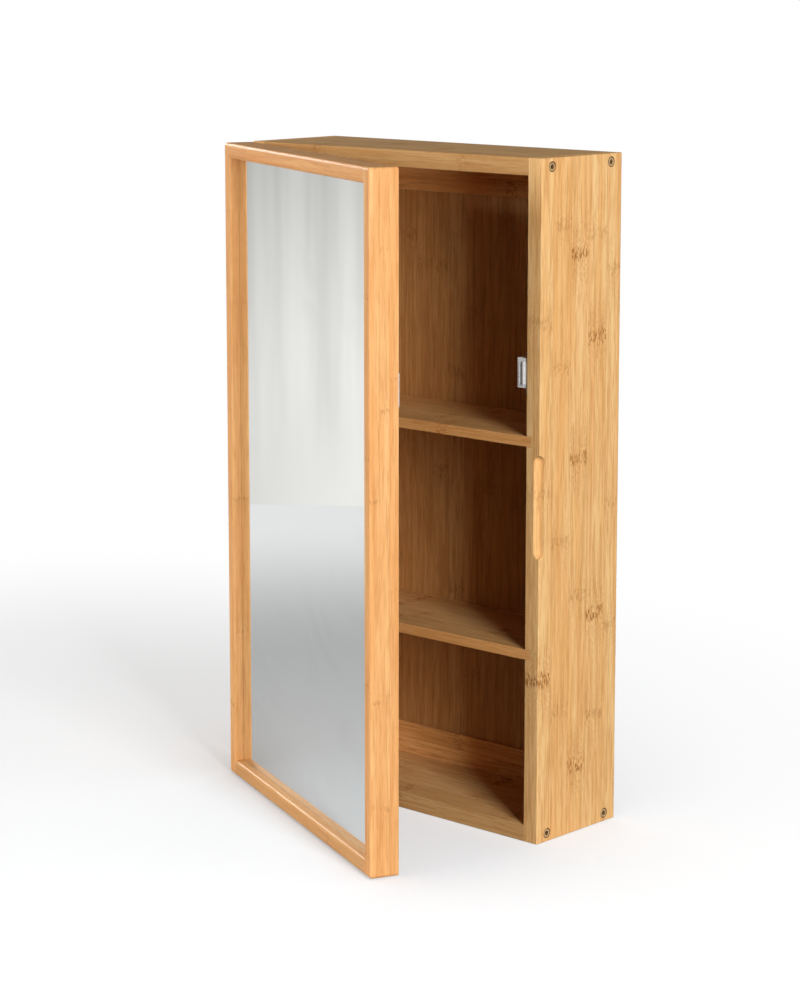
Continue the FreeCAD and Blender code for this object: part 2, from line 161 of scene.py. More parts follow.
def glow_by_ray(tree, for_camera, for_mirrors, for_the_rest=0.0):
    path = add_node(tree, "LightPath")
    straight = work_out(
        tree, "MAXIMUM", path.outputs["Is Camera Ray"], path.outputs["Is Transmission Ray"])
    glow = work_out(tree, "MULTIPLY_ADD", straight, for_camera - for_the_rest, for_the_rest)
    return work_out(
        tree, "MULTIPLY_ADD", path.outputs["Is Glossy Ray"], for_mirrors - for_the_rest, glow)


def emission(tree, strength):
    shader = add_node(tree, "Emission")
    feed(tree, shader.inputs["Strength"], strength)
    return shader


print("paper can glow for the camera alone")

# %% [markdown]
# Where the cabinet hides part of the room, paper gets less light, so the glow fades there. An
# Ambient Occlusion node measures how much of the room a point sees. Away from the cabinet the paper
# fades to plain white, so the rim of the disc never shows. That fade starts left of the cabinet,
# because its soft shadow falls to the left.

# %% Paper
shadow_middle = (-0.32, -0.26, 0.0)
fade_start, fade_end = 0.30, 1.05
room_reach = 0.5
deepest_shade = 0.62

paper, tree = new_material("paper_sweep")
distance = add_node(tree, "VectorMath", operation="DISTANCE")
feed(tree, distance.inputs[0], object_point(tree))
feed(tree, distance.inputs[1], shadow_middle)
far_out = ramp_between(tree, distance.outputs["Value"], fade_start, fade_end)
lit_paper = add_node(tree, "BsdfDiffuse")
feed(tree, lit_paper.inputs["Color"], (0.59, 0.60, 0.62, 1))
open_view = add_node(tree, "AmbientOcclusion", samples=8)
feed(tree, open_view.inputs["Distance"], room_reach)
fading = ramp_between(tree, open_view.outputs["AO"], 0.45, 1.00, deepest_shade, 1.0)
glow = emission(tree, work_out(tree, "MULTIPLY", glow_by_ray(tree, 0.72, 0.30), fading))
near = add_node(tree, "AddShader")
feed(tree, near.inputs[0], lit_paper.outputs[0])
feed(tree, near.inputs[1], glow.outputs[0])
white = emission(tree, glow_by_ray(tree, 1.0, 0.84))
sweep = add_node(tree, "MixShader")
feed(tree, sweep.inputs[0], far_out)
feed(tree, sweep.inputs[1], near.outputs[0])
feed(tree, sweep.inputs[2], white.outputs[0])
feed(tree, add_node(tree, "OutputMaterial").inputs["Surface"], sweep.outputs[0])
print("paper turns white", fade_end, "m from its shadow")

# %% [markdown]
# The sheet itself is one flat disc, a hair below the cabinet, so that the two never share a plane.

# %% Floor
def add_object(name, bm, material):
    mesh = bpy.data.meshes.new(name)
    bm.to_mesh(mesh)
    bm.free()
    mesh.materials.append(material)
    made = bpy.data.objects.new(name, mesh)
    scene.collection.objects.link(made)
    return made


floor_radius, floor_level = 9.0, -0.0004
bm = bmesh.new()
bmesh.ops.create_circle(bm, cap_ends=True, segments=128, radius=floor_radius)
bmesh.ops.translate(bm, verts=bm.verts, vec=(0, 0, floor_level))
floor = add_object("paper_floor", bm, paper)
print("floor lies at z =", floor_level)

# %% [markdown]
# ## Light
#
# A large softbox on the right lights the side of the case, a weaker one in front lights the mirror
# frame, and a dim sky fills the shadows, so the inside of the box stays dark. A small lamp behind
# on the left draws a bright line along the rounded edges that face up and forward. Each lamp's power
# follows from its distance: about ten watts times the distance squared shows a colour as it is
# written.

# %% Lamps
def add_softbox(name, spot, aim, size, share):
    lamp = bpy.data.lights.new(name, "AREA")
    lamp.shape = "RECTANGLE"
    lamp.size, lamp.size_y = size
    reach = Vector(aim) - Vector(spot)
    lamp.energy = math.pi ** 2 * reach.length_squared * share
    made = bpy.data.objects.new(name, lamp)
    made.location = spot
    made.rotation_euler = reach.to_track_quat("-Z", "Y").to_euler()
    made.visible_camera = False
    scene.collection.objects.link(made)
    print(name, round(lamp.energy, 1), "W")
    return made


middle = (cad_box[0] + cad_box[1]) / 2
above_middle = middle + Vector((0, 0, 0.1))
add_softbox("side_softbox", (2.05, -1.05, 0.95), middle, (0.6, 1.6), 1.06)
front_lamp = add_softbox("front_softbox", (-0.9, -2.4, 0.70), middle, (1.4, 1.4), 0.78)
rim_lamp = add_softbox("rim_lamp", (-1.95, 0.32, 1.0), above_middle, (0.5, 0.38), 0.50)

# %% [markdown]
# The front softbox and the rim lamp would wash out the shadow on the paper. A studio keeps such
# lamps off it with a black flag, and light linking is that flag here. The sky is a plain world with
# the same kind of glow as the paper: white for the camera, greyer for mirrors, dim for the rest.

# %% Flag and sky
flag = bpy.data.collections.new("kept_dark_by_a_flag")
flag.objects.link(floor)
flag.collection_objects[0].light_linking.link_state = "EXCLUDE"
for lamp in (front_lamp, rim_lamp):
    lamp.light_linking.receiver_collection = flag

sky = bpy.data.worlds.new("studio_sky")
sky.use_nodes = True
tree = sky.node_tree
tree.nodes.clear()
air = add_node(tree, "Background")
feed(tree, air.inputs["Color"], (1, 1, 1, 1))
feed(tree, air.inputs["Strength"], glow_by_ray(tree, 1.0, 0.45, 0.06))
feed(tree, add_node(tree, "OutputWorld").inputs["Surface"], air.outputs[0])
scene.world = sky
print("2 lamps are kept off the paper")

# %% [markdown]
# ## What the mirror sees
#
# A mirror shows nothing of its own, so a studio gives it something to show: a ring round the set that
# glows like a white cloth. Its folds are painted shade in that glow: noise that is stretched upwards.
# The glow is brightest low down on the left, where the mirror looks, and dim behind, so that the
# lacquer on top does not turn milky.

# %% Cloth
def grain_noise(tree, point, scale, detail, roughness=0.5):
    noise = add_node(tree, "TexNoise")
    feed(tree, noise.inputs["Vector"], point)
    feed(tree, noise.inputs["Scale"], scale)
    feed(tree, noise.inputs["Detail"], detail)
    feed(tree, noise.inputs["Roughness"], roughness)
    return noise.outputs["Fac"]


mean_fold_shade = 0.94
cloth, tree = new_material("studio_cloth")
place = object_point(tree)
hanging = scaled(tree, place, (1.0, 1.0, 0.05))
# The folds are painted shade: noise that dims the glow of the cloth.
wide_fold_shade = ramp_between(tree, grain_noise(tree, hanging, 9.0, 1.0), 0.3, 0.7, 0.84, 1.06)
fine_fold_shade = ramp_between(tree, grain_noise(tree, hanging, 38.0, 2.0), 0.3, 0.7, 0.90, 1.04)
fold_shade = work_out(tree, "MULTIPLY", wide_fold_shade, fine_fold_shade)
x, y, z = axes_of(tree, place)
spread_out = ramp_between(tree, z, 0.0, 0.22)
fold_shade = work_out(
    tree, "MULTIPLY_ADD", work_out(tree, "SUBTRACT", fold_shade, mean_fold_shade), spread_out, mean_fold_shade)
fading = ramp_between(tree, z, 0.15, 0.62, 1.00, 0.60)
behind = ramp_between(tree, work_out(tree, "SUBTRACT", y, x), 1.2, 2.0, 1.0, 0.25)
shade = work_out(tree, "MULTIPLY", fading, behind)
cloth_glow = emission(tree, work_out(tree, "MULTIPLY", shade, fold_shade))
feed(tree, cloth_glow.inputs["Color"], (1.0, 0.975, 0.945, 1))
feed(tree, add_node(tree, "OutputMaterial").inputs["Surface"], cloth_glow.outputs[0])
print("cloth hangs in folds")

# %% [markdown]
# The cloth is a cylinder that only reflections can see. It casts no shadow, adds no light and never
# hides the cabinet.

# %% Ring of cloth
cloth_radius, cloth_height = 1.5, 3.0
bm = bmesh.new()
bmesh.ops.create_cone(
    bm, cap_ends=False, segments=128, radius1=cloth_radius, radius2=cloth_radius, depth=cloth_height)
bmesh.ops.translate(bm, verts=bm.verts, vec=(0, 0, cloth_height / 2))
cloth_ring = add_object("studio_cloth", bm, cloth)
cloth_ring.visible_camera = False
cloth_ring.visible_diffuse = False
cloth_ring.visible_shadow = False
cloth_ring.visible_transmission = False
print("cloth hangs", cloth_radius, "m away")

# %% [markdown]
# ## Bamboo, as a recipe
#
# A bamboo board is made of strips, each sawn from a stem and glued edge to edge. Every strip has
# its own tone, fine fibres that run along it, and a short cluster of brown dashes wherever the stem
# had a joint. The recipe is a node group, so all boards share it. It takes a point of the board,
# with X across the strips and Z along the grain, and works like solid wood: the same strip shows
# on the face, on the edge and on the end of a board.

# %% Bamboo strips
def open_group(name, inputs, outputs):
    group = bpy.data.node_groups.new(name, "ShaderNodeTree")
    for side, sockets in (("INPUT", inputs), ("OUTPUT", outputs)):
        for label, kind in sockets:
            group.interface.new_socket(label, in_out=side, socket_type="NodeSocket" + kind)
    entry = group.nodes.new("NodeGroupInput")
    leave = group.nodes.new("NodeGroupOutput")
    return group, entry.outputs, leave.inputs


def chances(tree, dimensions, point):
    noise = add_node(tree, "TexWhiteNoise", noise_dimensions=dimensions)
    feed(tree, noise.inputs["Vector"], point)
    parted = add_node(tree, "SeparateColor")
    feed(tree, parted.inputs[0], noise.outputs["Color"])
    return parted.outputs


finish_outputs = [("Color", "Color"), ("Roughness", "Float"), ("Height", "Float")]
bamboo, given, result = open_group(
    "bamboo_strips",
    [("Point", "Vector"), ("Strip Width", "Float"), ("Joint Spacing", "Float"),
     ("Joint Size", "Float"), ("Joint Strength", "Float"), ("Streaks", "Float"),
     ("Glue Line", "Float"), ("Matt", "Float"), ("Seed", "Float"),
     ("Pale", "Color"), ("Honey", "Color"), ("Joint Brown", "Color")],
    finish_outputs)
across, through, along = axes_of(bamboo, given["Point"])
count = work_out(bamboo, "DIVIDE", across, given["Strip Width"])
strip = work_out(bamboo, "FLOOR", count)
share = work_out(bamboo, "FRACT", count)
luck = chances(bamboo, "2D", point_at(bamboo, strip, given["Seed"], 0.0))
print("strips have their own tone")

# %% [markdown]
# The fibres are noise that is stretched along the grain: about three millimetres wide and a hand
# long. A finer noise splits them into hairlines, and a broader one gives the lighter and darker
# bands within a strip. Each strip starts at its own place in the noise, so no streak runs on across
# a glue line.

# %% Fibres
fibre_scale = 330.0
shifted = work_out(bamboo, "ADD", work_out(bamboo, "MULTIPLY", along, 0.045),
                   work_out(bamboo, "MULTIPLY", luck["Green"], 9.0))
fibre_point = point_at(bamboo, across, through, shifted)
fibre = grain_noise(bamboo, fibre_point, fibre_scale, 3.0, 0.75)
hair = grain_noise(bamboo, fibre_point, 1100.0, 1.0)
broad = grain_noise(bamboo, fibre_point, 120.0, 1.0)
hairline = work_out(bamboo, "ADD", ramp_between(bamboo, fibre, 0.40, 0.55, 0.78, 0.0),
                    ramp_between(bamboo, hair, 0.38, 0.54, 0.40, 0.0))
print("fibres are", round(1000 / fibre_scale, 1), "mm wide")

# %% [markdown]
# Chance decides where along the strip a joint of the stem falls and how strongly it shows. The
# strip is divided into stretches with one joint each. The place of a joint within its stretch is
# drawn from the numbers of the strip and the stretch, so it is the same on every side of the board.

# %% Where the joints fall
steps = work_out(bamboo, "ADD", work_out(bamboo, "DIVIDE", along, given["Joint Spacing"]),
                 work_out(bamboo, "MULTIPLY", luck["Blue"], 7.0))
stretch = work_out(bamboo, "FLOOR", steps)
joint_luck = chances(bamboo, "3D", point_at(bamboo, strip, stretch, given["Seed"]))
spot = ramp_between(bamboo, joint_luck["Red"], 0.0, 1.0, 0.25, 0.75)
from_spot = work_out(bamboo, "SUBTRACT", work_out(bamboo, "FRACT", steps), spot)
offset = work_out(bamboo, "MULTIPLY", from_spot, given["Joint Spacing"])
strength = work_out(bamboo, "MULTIPLY", ramp_between(bamboo, joint_luck["Green"], 0.0, 1.0, 0.30, 1.0),
                    given["Joint Strength"])
print("each stretch of a strip has one joint")

# %% [markdown]
# A joint crosses its strip as a ragged band of short brown dashes. Round the band the fibres curl,
# which shows as small flecks. Three noises, each stretched along the grain a little differently,
# make the band wander, break it into dashes and scatter the flecks.

# %% Joints of the stem
def joint_noise(shrink, scale, detail):
    drawn_out = point_at(bamboo, across, through, work_out(bamboo, "MULTIPLY", along, shrink))
    return grain_noise(bamboo, drawn_out, scale, detail)


ragged = joint_noise(0.25, 300.0, 2.0)
wander = work_out(bamboo, "MULTIPLY", work_out(bamboo, "SUBTRACT", ragged, 0.5), 0.020)
from_joint = work_out(bamboo, "ABSOLUTE", work_out(
    bamboo, "ADD", work_out(bamboo, "DIVIDE", offset, given["Joint Size"]), wander))
band = ramp_between(bamboo, from_joint, 0.0030, 0.0070, 1.0, 0.0)
dashes = ramp_between(bamboo, joint_noise(0.34, 640.0, 2.0), 0.46, 0.56)
joint = work_out(bamboo, "MULTIPLY", work_out(bamboo, "MULTIPLY", band, dashes), strength)
nearby = ramp_between(bamboo, from_joint, 0.004, 0.055, 1.0, 0.0)
curls = ramp_between(bamboo, joint_noise(0.42, 620.0, 1.0), 0.42, 0.62)
flecks = work_out(bamboo, "MULTIPLY", work_out(bamboo, "MULTIPLY", nearby, strength), curls)
print("joints are bands of dashes")

# %% [markdown]
# Last come the glue line between two strips, which is as thin as a hair, and the sum of it all:
# a colour, a roughness for the lacquer, and a height for the slight relief that it follows.

# %% Colour
def blend_colours(tree, share, first, second):
    mix = add_node(tree, "Mix", data_type="RGBA")
    feed(tree, mix.inputs["Factor"], share)
    feed(tree, mix.inputs["A"], first)
    feed(tree, mix.inputs["B"], second)
    return mix.outputs["Result"]


from_centre = work_out(bamboo, "ABSOLUTE", work_out(bamboo, "SUBTRACT", share, 0.5))
to_line = work_out(
    bamboo, "MULTIPLY", work_out(bamboo, "SUBTRACT", 0.5, from_centre), given["Strip Width"])
glue_line = ramp_between(bamboo, to_line, 0.0001, 0.0006, 1.0, 0.0)
tone = work_out(bamboo, "ADD", work_out(bamboo, "MULTIPLY", luck["Red"], 0.45),
                work_out(bamboo, "MULTIPLY", ramp_between(bamboo, broad, 0.3, 0.7), 0.55))
wood = blend_colours(bamboo, tone, given["Pale"], given["Honey"])
streak = blend_colours(bamboo, 0.36, given["Honey"], given["Joint Brown"])
wood = blend_colours(bamboo, work_out(bamboo, "MULTIPLY", hairline, given["Streaks"]), wood, streak)
dark_lines = work_out(bamboo, "ADD", work_out(bamboo, "MULTIPLY", flecks, 0.26),
                      work_out(bamboo, "MULTIPLY", glue_line, given["Glue Line"]))
wood = blend_colours(bamboo, dark_lines, wood, given["Joint Brown"])
wood = blend_colours(bamboo, work_out(bamboo, "MULTIPLY", joint, 0.85), wood, given["Joint Brown"])
feed(bamboo, result["Color"], wood)
print("wood has its colour")

# %% [markdown]
# Lacquer sinks into open fibres and stays proud on dense ones. So the fibres steer its roughness and
# the relief a little, and the joints and glue lines lie slightly lower.

# %% Lacquer and relief
unevenness = work_out(bamboo, "ADD", ramp_between(bamboo, fibre, 0.2, 0.8, -0.05, 0.05),
                      work_out(bamboo, "MULTIPLY", joint, 0.10))
feed(bamboo, result["Roughness"], work_out(bamboo, "ADD", given["Matt"], unevenness))
relief = work_out(bamboo, "SUBTRACT", work_out(bamboo, "MULTIPLY", fibre, 0.5),
                  work_out(bamboo, "MULTIPLY", joint, 0.5))
feed(bamboo, result["Height"], work_out(
    bamboo, "SUBTRACT", relief, work_out(bamboo, "MULTIPLY", glue_line, 0.6)))
print("bamboo recipe has", len(bamboo.nodes), "nodes")

# %% [markdown]
# ## Eased edges
#
# Sawn edges are never quite sharp: sandpaper takes half a millimetre off them, and hands polish what
# is left. A Bevel node bends the light round such an edge without changing the mesh. Where the bent
# direction differs from the face's own, there is an edge, and that gives a mask for a paler line,
# which is partly wear and partly a painted highlight.

# %% Eased edges
eased, given, result = open_group(
    "eased_edge", [("Radius", "Float")], [("Normal", "Vector"), ("Edge", "Float")])
rounded = add_node(eased, "Bevel", samples=6)
feed(eased, rounded.inputs["Radius"], given["Radius"])
agree = add_node(eased, "VectorMath", operation="DOT_PRODUCT")
feed(eased, agree.inputs[0], rounded.outputs[0])
feed(eased, agree.inputs[1], add_node(eased, "NewGeometry").outputs["Normal"])
feed(eased, result["Normal"], rounded.outputs[0])
feed(eased, result["Edge"], ramp_between(eased, agree.outputs["Value"], 0.75, 0.97, 1.0, 0.0))
print("edges are eased")

# %% [markdown]
# ## Screw spots
#
# Eight screws hold the case together, four in each side, in bores a little wider than their heads. The
# ring of bore round each head is darkened as painted shade, and so is the socket in each head. Both
# are round spots about the same four centres. The centres lie the same way about the middle of the
# side, so folding the point over with two absolute values leaves one centre to measure from.

# %% Screw spots
side_middle_y, side_middle_z = -0.054, 0.300
screw_out_y, screw_out_z = 0.040, 0.2925

screw_spots, given, result = open_group(
    "screw_spots", [("Point", "Vector"), ("Inner", "Float"), ("Outer", "Float")], [("Mask", "Float")])
_, y, z = axes_of(screw_spots, given["Point"])
from_middle = work_out(screw_spots, "ABSOLUTE", work_out(screw_spots, "SUBTRACT", y, side_middle_y))
from_waist = work_out(screw_spots, "ABSOLUTE", work_out(screw_spots, "SUBTRACT", z, side_middle_z))
reach = add_node(screw_spots, "VectorMath", operation="LENGTH")
feed(screw_spots, reach.inputs[0], point_at(
    screw_spots, work_out(screw_spots, "SUBTRACT", from_middle, screw_out_y),
    work_out(screw_spots, "SUBTRACT", from_waist, screw_out_z), 0.0))
feed(screw_spots, result["Mask"], ramp_between(
    screw_spots, reach.outputs["Value"], given["Inner"], given["Outer"], 1.0, 0.0))
print("screw spots are", round(2000 * screw_out_y), "mm apart")

# %% [markdown]
# ## Painted light on front edges
#
# The front edge of a shelf gets painted light: it is made paler than the faces, as if more light fell
# on it. A second material on that face would need the mesh cut up. Instead the group asks how far back
# a point lies, and lightens the wood where that is less than about half a millimetre.

# %% Painted light on front edges
front_edge_light = (1.45, 1.30, 1.18)
lit_front_edge, given, result = open_group(
    "lit_front_edge", [("Point", "Vector"), ("Front", "Float"), ("Wood", "Color")], [("Color", "Color")])
_, y, _ = axes_of(lit_front_edge, given["Point"])
depth = work_out(lit_front_edge, "SUBTRACT", y, given["Front"])
at_front = ramp_between(lit_front_edge, depth, 0.0002, 0.0008, 1.0, 0.0)
feed(lit_front_edge, result["Color"], blend_colours(
    lit_front_edge, at_front, given["Wood"], scaled(lit_front_edge, given["Wood"], front_edge_light)))
print("front edges are planed")

# %% [markdown]
# ## Boards
#
# A board's material turns the recipe so that Z follows the grain of that board: up the sides, along
# the shelves, along each member of the door. The helpers here place a group, turn its point, lay a
# relief over an eased edge, close a material with one Principled shader and put it on a node.

# %% Placing a finish
def place_group(tree, group, **values):
    holder = tree.nodes.new("ShaderNodeGroup")
    holder.node_tree = group
    for name, value in values.items():
        feed(tree, holder.inputs[name.replace("_", " ")], value)
    return holder.outputs


def turned_point(tree, across, grain, offset):
    through = Vector(grain).cross(Vector(across))
    turn = Matrix((across, through, grain))
    mapping = add_node(tree, "Mapping")
    feed(tree, mapping.inputs["Vector"], object_point(tree))
    feed(tree, mapping.inputs["Rotation"], turn.to_euler("XYZ"))
    feed(tree, mapping.inputs["Location"], offset)
    return mapping.outputs[0]


def bumped(tree, height, strength, depth, normal):
    bump = add_node(tree, "Bump")
    feed(tree, bump.inputs["Strength"], strength)
    feed(tree, bump.inputs["Distance"], depth)
    feed(tree, bump.inputs["Height"], height)
    feed(tree, bump.inputs["Normal"], normal)
    return bump.outputs[0]


def finish_surface(tree, **sockets):
    surface = add_node(tree, "BsdfPrincipled")
    for name, value in sockets.items():
        feed(tree, surface.inputs[name.replace("_", " ")], value)
    feed(tree, add_node(tree, "OutputMaterial").inputs["Surface"], surface.outputs[0])


def dress(node, material):
    parts[node].data.materials.clear()
    parts[node].data.materials.append(material)


print("finishes can be placed")

# %% [markdown]
# One function makes every board. The tones are three colours: pale wood, honey wood and the brown of
# joints and streaks. Lacquer is a thin coat with its own gloss. Only the sides are bored for screws,
# and their bores get painted shade; only the shelves get painted light on their front edge. Every
# board gets a paler line along its edges, partly wear and partly painted highlight.

# %% Board material
joint_spacing = 0.17
worn_and_highlit_wood, painted_bore_shade = (0.95, 0.66, 0.34, 1), (0.075, 0.035, 0.014, 1)


def board_material(name, across, grain, offset, seed, tones, lacquer,
                   bored=False, lit_front_at=None, **looks):
    material, tree = new_material(name)
    pale, honey, brown = tones
    made = place_group(
        tree, bamboo, Point=turned_point(tree, across, grain, offset), Seed=seed,
        Pale=pale, Honey=honey, Joint_Brown=brown, Joint_Spacing=joint_spacing, **looks)
    edge = place_group(tree, eased, Radius=0.0008)
    # Paler line along the edges: partly wear, partly painted highlight.
    wood = blend_colours(
        tree, work_out(tree, "MULTIPLY", edge["Edge"], 0.45), made["Color"], worn_and_highlit_wood)
    # Painted shade in the screw bores of the sides.
    if bored:
        spots = place_group(
            tree, screw_spots, Point=object_point(tree), Inner=0.0043, Outer=0.0048)
        wood = blend_colours(tree, spots["Mask"], wood, painted_bore_shade)
    # Painted light on the front edge of the shelves.
    if lit_front_at is not None:
        lightened = place_group(
            tree, lit_front_edge, Point=object_point(tree), Front=lit_front_at, Wood=wood)
        wood = lightened["Color"]
    coat, coat_roughness = lacquer
    finish_surface(
        tree, Base_Color=wood, Roughness=made["Roughness"], Specular_IOR_Level=0.12,
        Coat_Weight=coat, Coat_Roughness=coat_roughness,
        Normal=bumped(tree, made["Height"], 0.35, 0.0004, edge["Normal"]))
    return material


print("boards can be made")

# %% [markdown]
# The boards of the case differ in tone. The sides are the palest; the top and bottom, the shelves and
# the rails are darker, and the thin back panel is darkest, with joints that hardly show. These darker
# tones are painted shade for the top and the inside of the box. Each row says which tone a board has,
# which way its strips lie and its grain runs, where the first strip starts and how wide the strips
# are. A seed gives every board strips of its own.

# %% Case boards
right, back, up = Vector((1, 0, 0)), Vector((0, 1, 0)), Vector((0, 0, 1))
brown, dark_brown = (0.36, 0.130, 0.025, 1), (0.17, 0.065, 0.014, 1)
# The darker tones of the ends, shelves, rails and back panel are painted shade.
tones = {
    "sides": ((0.94, 0.635, 0.293, 1), (0.86, 0.450, 0.157, 1), brown),
    "ends": ((0.75, 0.490, 0.225, 1), (0.66, 0.355, 0.126, 1), brown),
    "shelves": ((0.68, 0.420, 0.184, 1), (0.56, 0.310, 0.112, 1), brown),
    "rails": ((0.90, 0.520, 0.210, 1), (0.74, 0.370, 0.122, 1), brown),
    "panel": ((0.60, 0.333, 0.127, 1), (0.49, 0.240, 0.078, 1), dark_brown),
}
case_boards = {
    "left_side_panel": ("sides", back, up, 0.000, 0.0243),
    "right_side_panel": ("sides", back, up, 0.116, 0.0243),
    "top_panel": ("ends", back, right, 0.108, 0.0243),
    "bottom_panel": ("ends", back, right, 0.108, 0.0243),
    "upper_shelf": ("shelves", back, right, 0.108, 0.0243),
    "lower_shelf": ("shelves", back, right, 0.108, 0.0243),
    "back_panel": ("panel", right, up, 0.000, 0.0200),
    "upper_back_rail": ("rails", up, right, 0.000, 0.0300),
    "lower_back_rail": ("rails", up, right, 0.000, 0.0300),
}
case_lacquer = (0.05, 0.45)
case_looks = {"Joint_Size": 1.0, "Streaks": 0.78, "Glue_Line": 0.16, "Matt": 0.72}
for row, (node, (tone, across, grain, start, strip_width)) in enumerate(case_boards.items()):
    front = min(corner.co.y for corner in parts[node].data.vertices)
    dress(node, board_material(
        "bamboo_" + node, across, grain, (start, 0, 0), 3.7 + 1.9 * row, tones[tone], case_lacquer,
        bored=tone == "sides", lit_front_at=front if tone == "shelves" else None,
        Strip_Width=strip_width, Joint_Strength=0.4 if tone == "panel" else 1.0, **case_looks))
print(len(case_boards), "case boards")

# %% [markdown]
# The members of the door are sawn from a thicker block, with the strips on edge. They look narrower
# there, their joints are small, and the lacquer has turned the wood a little more orange; the bottom
# rail is given browner tones. Hands and cloths touch the door most, so its lacquer is glossier than
# that of the case: the routed edges catch the rim lamp as a thin bright line. The door stands ajar in
# the model, so its grain is turned by that angle.

# %% Door members
degrees_ajar = 24
ajar = Matrix.Rotation(math.radians(-degrees_ajar), 3, "Z")
door_across, door_along = ajar @ back, ajar @ right
golden = ((0.90, 0.515, 0.214, 1), (0.775, 0.335, 0.104, 1), brown)
browner = ((0.75, 0.445, 0.190, 1), (0.64, 0.300, 0.098, 1), brown)
door_members = {
    "door_hinge_stile": (golden, up),
    "door_free_stile": (golden, up),
    "door_top_rail": (golden, door_along),
    "door_bottom_rail": (browner, door_along),
}
door_lacquer = (0.13, 0.22)
door_looks = {"Strip_Width": 0.0088, "Joint_Size": 0.42, "Joint_Strength": 0.42,
              "Streaks": 0.55, "Glue_Line": 0.08, "Matt": 0.50}
for row, (node, (member_tones, grain)) in enumerate(door_members.items()):
    dress(node, board_material(
        "bamboo_" + node, door_across, grain, (0.11, 0, 0.07 * row), 31.3 + 2.3 * row,
        member_tones, door_lacquer, **door_looks))
print(len(door_members), "door members")

# %% [markdown]
# ## Mirror glass
#
# A household mirror is clear glass with silver behind it. What shows is the silver, seen through a
# faint green cast, and the film that fingers and wiping leave on the front. Glass over silver could
# be built as two layers, but one polished metal gives the same picture without the noise of light
# caught between them.

# %% Mirror glass
wiping, given, result = open_group(
    "wiping_marks", [("Point", "Vector"), ("Least", "Float"), ("Most", "Float")],
    [("Roughness", "Float"), ("Film", "Float")])
clouds = grain_noise(wiping, given["Point"], 9.0, 4.0, 0.55)
smears = add_node(wiping, "TexWave", wave_type="BANDS", bands_direction="DIAGONAL")
feed(wiping, smears.inputs["Vector"], given["Point"])
for label, number in (("Scale", 14.0), ("Distortion", 9.0), ("Detail", 3.0)):
    feed(wiping, smears.inputs[label], number)
film = work_out(
    wiping, "MULTIPLY", ramp_between(wiping, clouds, 0.45, 0.75), smears.outputs["Fac"])
spread = work_out(wiping, "SUBTRACT", given["Most"], given["Least"])
feed(wiping, result["Roughness"], work_out(wiping, "MULTIPLY_ADD", film, spread, given["Least"]))
feed(wiping, result["Film"], film)

clean_silver, filmed_silver = (0.90, 0.925, 0.92, 1), (0.86, 0.88, 0.875, 1)
silvered, tree = new_material("silvered_glass")
marks = place_group(tree, wiping, Point=object_point(tree), Least=0.012, Most=0.05)
finish_surface(
    tree, Base_Color=blend_colours(tree, marks["Film"], clean_silver, filmed_silver),
    Metallic=1.0, Roughness=marks["Roughness"])
dress("mirror_glass", silvered)
print("mirror is silvered")

# %% [markdown]
# ## Plated steel
#
# Hinges, hanger plates and small screws are pressed from steel strip and zinc plated; the screws of
# the case are bronzed. Plating dulls unevenly and takes fine scratches along the way the strip was
# rolled. One group gives both, and each metal sets its own two tones.

# %% Plating
plating, given, result = open_group(
    "plated_metal", [("Point", "Vector"), ("Bright", "Color"), ("Dull", "Color")], finish_outputs)
mottle = grain_noise(plating, given["Point"], 420.0, 3.0, 0.6)
rolled = scaled(plating, given["Point"], (1.0, 1.0, 0.06))
scratch = grain_noise(plating, rolled, 3200.0, 2.0, 0.6)
feed(plating, result["Color"], blend_colours(
    plating, ramp_between(plating, mottle, 0.35, 0.7), given["Bright"], given["Dull"]))
feed(plating, result["Roughness"], work_out(
    plating, "ADD", ramp_between(plating, mottle, 0.3, 0.7, 0.24, 0.40),
    ramp_between(plating, scratch, 0.5, 0.8, 0.0, 0.12)))
feed(plating, result["Height"], scratch)
print("plating has", len(plating.nodes), "nodes")

# %% [markdown]
# Three metals come from that group: zinc, bronze with painted shade in the sockets of the case screws,
# and a dull zinc for the pole plates of the catch, which sit in shadow and would turn black if they
# mirrored nothing but the inside of the box. The record of the CAD model says which node is which.

# %% Plated steel
socket_shade = (0.06, 0.035, 0.018, 1)


def metal_material(name, bright, dull, metallic=1.0, socket=False):
    material, tree = new_material(name)
    made = place_group(tree, plating, Point=object_point(tree), Bright=bright, Dull=dull)
    edge = place_group(tree, eased, Radius=0.0002)
    metal = blend_colours(
        tree, work_out(tree, "MULTIPLY", edge["Edge"], 0.5), made["Color"], bright)
    # Painted shade in the socket of each case screw.
    if socket:
        spots = place_group(
            tree, screw_spots, Point=object_point(tree), Inner=0.0018, Outer=0.0022)
        metal = blend_colours(tree, spots["Mask"], metal, socket_shade)
    finish_surface(
        tree, Base_Color=metal, Metallic=metallic, Roughness=made["Roughness"],
        Normal=bumped(tree, made["Height"], 0.25, 0.0001, edge["Normal"]))
    return material


plated = {
    "bright_steel": metal_material(
        "zinc_plate", (0.74, 0.74, 0.73, 1), (0.55, 0.56, 0.57, 1)),
    "bronzed_steel": metal_material(
        "bronzed_screws", (0.86, 0.62, 0.34, 1), (0.62, 0.42, 0.20, 1), socket=True),
}
dull_zinc = metal_material(
    "dull_zinc", (0.86, 0.86, 0.85, 1), (0.74, 0.75, 0.75, 1), metallic=0.35)
slots = {row["node"]: row["material_slot"] for row in frame["record"]["subparts"]}
for node, slot in slots.items():
    if slot in plated:
        dress(node, plated[slot])
dress("catch_pole_plates", dull_zinc)
print("plated", sum(slot in plated for slot in slots.values()), "nodes")

# %% [markdown]
# ## Catch, tape, backing and dowels
#
# The small things that hold the rest: a moulded catch with a pressed ferrite magnet, foam tape and
# a hardboard back behind the mirror, beech dowels in the corners. Each is plain, but none is flat:
# moulded plastic has a fine spark-eroded texture, foam has pores, hardboard has pressed fibres. All
# of these are grains of two tones, so one group serves, with a scale and a stretch for each.

